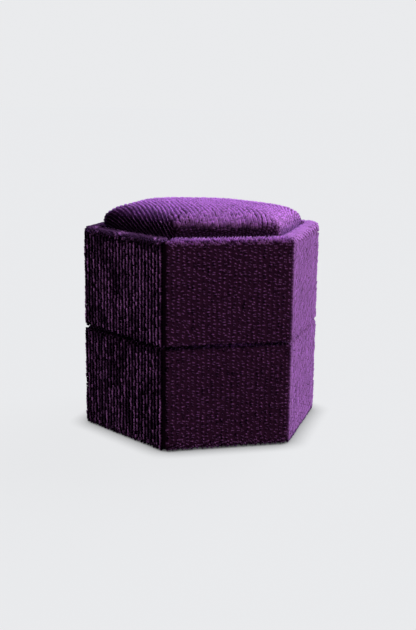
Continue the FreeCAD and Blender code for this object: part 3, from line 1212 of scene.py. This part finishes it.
class RINGBOX_OT_lid_cushion(bpy.types.Operator):
    """Lays the domed velvet cushion in the top of the lid."""

    bl_idname = "ringbox.lid_cushion"
    bl_label = "Lid cushion"

    def execute(self, context):
        pile, cloth, velvet, random = begin(context, 2)
        width = half_width("lid_pad_velvet")
        corner = cushion_corner(width, PAD_CORNER)
        back = bottom("lid_pad_foam")
        path = crowned_path(width, top("lid_pad_velvet"), RIM + 0.6 * MM, back, 3.0, 6 * MM, -1.0, 0.5 * MM)
        ground = hexagon_cushion("lid_cushion", path, corner, pile.height, slump, cloth)
        puff(ground, 0.8 * MM, lambda place: place[:, 2] < RIM - 2 * MM, 0.3 * MM, 3.0)
        reach = path.mark_of_height(RIM - 2.5 * MM, 20 * MM, path.length - 6 * MM)
        roots = cushion_roots(path, corner, reach, pile.height, slump, pile.cushion_pitch, random)
        roots = settle(roots, ground)
        ahead = np.clip(-roots[0][:, 1] / width, 0, 1)
        rest = (0.0, dome_painted_light(*roots[:2]), (0.1 + 0.05 * ahead, 0.03), CUSHION_TUFT)
        tufts = grow_pile("lid_cushion_pile", roots, pile.height, pile, velvet, random, *rest)
        dress("lid", "velvet", ground, tufts)
        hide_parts("lid_pad_velvet", "lid_pad_foam")
        return {"FINISHED"}


class RINGBOX_OT_lid_ceiling(bpy.types.Operator):
    """Pads the ceiling of the lid, over the ring."""

    bl_idname = "ringbox.lid_ceiling"
    bl_label = "Lid ceiling"

    def execute(self, context):
        pile, cloth, velvet, random = begin(context, 3)
        height = pile.lining_height
        width = half_width("lid_ceiling_cover")
        corner = cushion_corner(width, CEILING_CORNER)
        low = bottom("lid_ceiling_cover")
        path = crowned_path(width, low, low + MM, top("lid_ceiling_foam"), 3.5, MM, 1.0)
        ground = hexagon_cushion("lid_ceiling", path, corner, height, keep, cloth)
        puff(ground, 0.6 * MM, lambda place: place[:, 2] > low + 1.6 * MM, 0.25 * MM, 2.0)
        reach = path.mark_of_height(low + 1.4 * MM, 18 * MM, path.length - MM)
        roots = cushion_roots(path, corner, reach, height, keep, pile.wale_pitch, random)
        tufts = grow_pile("lid_ceiling_pile", settle(roots, ground), height, pile, velvet, random)
        dress("lid", "lining_velvet", ground, tufts)
        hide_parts("lid_ceiling_cover", "lid_ceiling_foam")
        return {"FINISHED"}


class RINGBOX_OT_collar_velvet(bpy.types.Operator):
    """Covers the collar in velvet."""

    bl_idname = "ringbox.collar_velvet"
    bl_label = "Collar velvet"

    def execute(self, context):
        pile, cloth, velvet, random = begin(context, 4)
        height = pile.lining_height
        path = collar_path()
        wales = wales_on(half_width("collar_velvet"), pile)
        ground = ground_cloth("collar_velvet_cloth", path, collar_corner, wales, height, pile, cloth)
        first = path.mark_of_height(SEAM - MM, 0, 0.4 * path.length)
        last = path.mark_of_height(top("ring_pad_velvet") - 4 * MM, 0.6 * path.length, path.length)
        roots = wrap_roots(path, collar_corner, wales, height, first, last, pile, random)
        tufts = grow_pile("collar_velvet_pile", roots, height, pile, velvet, random)
        dress("base", "lining_velvet", ground, tufts)
        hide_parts("collar_velvet")
        return {"FINISHED"}


class RINGBOX_OT_ring_cushion(bpy.types.Operator):
    """Fills the base with the two soft halves that hold a ring between them."""

    bl_idname = "ringbox.ring_cushion"
    bl_label = "Ring cushion"

    def execute(self, context):
        made_of = begin(context, 5)
        self.half("ring_cushion_back", 1, made_of, "ring_foam_back", "ring_pad_velvet")
        self.half("ring_cushion_front", -1, made_of, "ring_foam_front")
        return {"FINISHED"}

    def half(self, name, way, made_of, *nodes):
        """One half of the cushion, behind or in front of the slot."""
        pile, cloth, velvet, random = made_of
        height = pile.lining_height
        width = half_width("ring_pad_velvet") - height
        near = SLOT_HALF + height
        high = top("ring_pad_velvet") - height
        low = bottom(nodes[0])
        long_half = (2 * width - near) / math.sqrt(3)
        short_half = width / math.sqrt(3)
        corners = [
            (0, near), (long_half, near), (short_half, width),
            (-short_half, width), (-long_half, near), (0, near),
        ]
        line = folded_path(corners, [RING_CORNER] * 4)
        outline = np.column_stack(line.at(np.arange(96) / 96 * line.length)[:2])
        centre = np.array([0, 0.5 * (near + width)])
        rings = []
        for share in np.concatenate([np.linspace(0.03, 0.9, 14), np.sin(np.linspace(1.15, math.pi / 2, 8))]):
            lift = (1 - share**2.6) ** (1 / 2.6)
            rings.append(self.ring(outline, centre, share, high - RING_CROWN * (1 - lift), way))
        for level in np.linspace(high - RING_CROWN - 0.5 * MM, low, 14):
            rings.append(self.ring(outline, centre, 1.0, level, way))
        ground = shell(name, rings, cloth, -way)
        puff(ground, 0.8 * MM, lambda place: place[:, 2] < high - 8 * MM, 0.35 * MM, 3.0)
        plan = wale_grid(width, pile.wale_pitch, random)
        plan = plan[plan[:, 1] * way > near + 0.4 * MM]
        starts = np.column_stack([plan, np.full(len(plan), high + 5 * MM)])
        above = cast_roots(ground, starts, (0, 0, -1), (0, 1, 0))
        wale, row = np.meshgrid(np.arange(-15, 16), np.arange(6), indexing="ij")
        wall = np.column_stack([
            wale.ravel() * pile.wale_pitch,
            np.zeros(wale.size),
            high - 1.2 * MM - (row.ravel() + 0.5 * (wale.ravel() % 2)) * pile.tuft_pitch,
        ])
        beside = cast_roots(ground, wall, (0, way, 0), (0, 0, 1))
        roots = tuple(np.concatenate(both) for both in zip(above, beside))
        tufts = grow_pile(name + "_pile", roots, height, pile, velvet, random)
        dress("base", "lining_velvet", ground, tufts)
        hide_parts(*nodes)

    def ring(self, outline, centre, share, level, way):
        """The outline drawn in towards its centre, at a height."""
        plan = centre + share * (outline - centre)
        return np.column_stack([plan[:, 0], way * plan[:, 1], np.full(len(plan), level)])


class RINGBOX_OT_boards(bpy.types.Operator):
    """Gives the boards, the cards and the sole their finishes."""

    bl_idname = "ringbox.boards"
    bl_label = "Boards and sole"

    def execute(self, context):
        colours = context.scene.ring_box_colours
        board = flecked("greyboard", colours.greyboard, (0.12, 0.1, 0.085), 1500.0, 0.55, 0.35, 0.9)
        card = flecked("pad_card", colours.card, (0.25, 0.22, 0.18), 2200.0, 0.4, 0.25, 0.85)
        felt = flecked("sole_felt", colours.felt, [3 * c for c in colours.felt], 2600.0, 0.7, 0.9, 1.0)
        for name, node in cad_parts.items():
            if "sole" in name:
                finish = felt
            elif "card" in name:
                finish = card
            else:
                finish = board
            node.data.materials.clear()
            node.data.materials.append(finish)
        return {"FINISHED"}


class RINGBOX_OT_stage(bpy.types.Operator):
    """Sets the floor, the lights and the camera."""

    bl_idname = "ringbox.stage"
    bl_label = "Stage"

    def execute(self, context):
        scene = context.scene
        scene.view_settings.view_transform = "Standard"
        make_floor(scene.ring_box_colours)
        make_lights(scene.ring_box_stage, scene.ring_box_colours)
        make_camera(scene, scene.ring_box_stage)
        return {"FINISHED"}


def seen_ray(tree):
    """Is 1 on a ray from the camera, a mirror or a glass, and 0 on a ray that gathers light."""
    rays = tree.nodes.new("ShaderNodeLightPath").outputs
    seen = rays["Is Camera Ray"]
    for kind in ("Is Transmission Ray", "Is Glossy Ray"):
        seen = add_node(tree, "ShaderNodeMath", {0: seen, 1: rays[kind]}, operation="MAXIMUM").outputs[0]
    return seen


def make_floor(colours):
    """A plain pale floor out to the horizon, in one triangle, with a painted contact shadow close to what
    stands on it.
    """
    floor = mesh_object("floor", [(-52, -30, 0), (52, -30, 0), (0, 60, 0)], [(0, 1, 2)])
    material, tree, shader = new_material("floor_paper")
    seen = seen_ray(tree)
    paper = mix_colours(tree, seen, rgba(colours.floor, 0.004), rgba(colours.floor, 0.2))
    feed(tree, shader, {"Base Color": paper, "Roughness": 1.0, "Specular IOR Level": 0.0})
    # Painted contact shadow: the floor's glow darkens close to what stands on it
    contact_shadow = add_node(tree, "ShaderNodeAmbientOcclusion", {"Distance": 5 * MM}).outputs["AO"]
    shade = mix_colours(tree, contact_shadow, rgba(colours.floor, 0.05), rgba(colours.floor, 1.27))
    glow = add_node(tree, "ShaderNodeEmission", {"Color": shade})
    mix_shaders(tree, times(tree, seen, 0.78), shader, glow, "Material Output")
    floor.data.materials.append(material)


def wide_light(name, strength, colour, place, angle):
    """A far light that is wide and soft, at a place seen from the box."""
    light = bpy.data.lights.new(name, "SUN")
    light.energy = strength
    light.color = colour
    light.angle = math.radians(angle)
    new_object(name, light).rotation_euler = (-Vector(place)).to_track_quat("-Z", "Y").to_euler()


def make_lights(stage, colours):
    """Wide lights at the right, the front and the back left, and an even sky seen in the floor's colour."""
    wide_light("key_light", stage.key, (0.91, 0.94, 1.0), (0.66, 0.46, 0.6), 48)
    wide_light("fill_light", stage.fill, (1.0, 0.96, 0.86), (0.36, -0.91, 0.2), 24)
    wide_light("rear_light", stage.rear, (1.0, 1.0, 1.0), (-0.33, 0.93, 0.12), 20)
    world = bpy.data.worlds.new("studio")
    world.use_nodes = True
    tree = world.node_tree
    sky = tree.nodes["Background"]
    feed(tree, sky, {"Color": (1.0, 1.0, 1.0, 1.0), "Strength": stage.sky})
    seen = add_node(tree, "ShaderNodeBackground", {"Color": rgba(colours.floor, 1.027)})
    mix_shaders(tree, seen_ray(tree), sky, seen, "World Output")
    bpy.context.scene.world = world


def make_camera(scene, stage):
    """The camera where the photograph was taken from."""
    data = bpy.data.cameras.new("camera")
    data.sensor_fit = "HORIZONTAL"
    data.sensor_width = 36.0
    data.lens = stage.lens
    data.clip_start = 0.01
    camera = new_object("camera", data)
    middle = Vector((0, 0, 0.5 * (cad_box[0][2] + cad_box[1][2])))
    level = math.cos(stage.elevation)
    aside = math.sin(stage.azimuth) * level
    ahead = -math.cos(stage.azimuth) * level
    toward = Vector((aside, ahead, math.sin(stage.elevation)))
    turn = Matrix.Rotation(stage.look_azimuth, 4, "Z")
    tilt = Matrix.Rotation(math.pi / 2 - stage.pitch, 4, "X")
    roll = Matrix.Rotation(stage.roll, 4, "Z")
    camera.matrix_world = Matrix.Translation(middle + toward * stage.distance) @ turn @ tilt @ roll
    scene.camera = camera


class RINGBOX_PT_panel(bpy.types.Panel):
    """Lists the pieces of the ring box."""

    bl_idname = "RINGBOX_PT_panel"
    bl_label = "Ring box"
    bl_space_type = "VIEW_3D"
    bl_region_type = "UI"
    bl_category = "Ring Box"

    def draw(self, context):
        for operator in OPERATORS:
            self.layout.operator(operator.bl_idname)


GROUPS = (RingBoxPile, RingBoxColours, RingBoxStage)
OPERATORS = (
    RINGBOX_OT_boards, RINGBOX_OT_base_velvet, RINGBOX_OT_lid_velvet, RINGBOX_OT_lid_cushion,
    RINGBOX_OT_lid_ceiling, RINGBOX_OT_collar_velvet, RINGBOX_OT_ring_cushion, RINGBOX_OT_stage,
)
CLASSES = GROUPS + OPERATORS + (RINGBOX_PT_panel,)


def register():
    """Adds the classes and the settings to Blender."""
    for group in CLASSES:
        bpy.utils.register_class(group)
    bpy.types.Scene.ring_box_pile = PointerProperty(type=RingBoxPile)
    bpy.types.Scene.ring_box_colours = PointerProperty(type=RingBoxColours)
    bpy.types.Scene.ring_box_stage = PointerProperty(type=RingBoxStage)


def unregister():
    """Takes them out again."""
    del bpy.types.Scene.ring_box_pile
    del bpy.types.Scene.ring_box_colours
    del bpy.types.Scene.ring_box_stage
    for group in reversed(CLASSES):
        bpy.utils.unregister_class(group)


def main():
    """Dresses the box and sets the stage."""
    register()
    bpy.ops.ringbox.boards()
    bpy.ops.ringbox.base_velvet()
    bpy.ops.ringbox.lid_velvet()
    bpy.ops.ringbox.lid_cushion()
    bpy.ops.ringbox.lid_ceiling()
    bpy.ops.ringbox.collar_velvet()
    bpy.ops.ringbox.ring_cushion()
    bpy.ops.ringbox.stage()


if __name__ == "__main__":
    main()
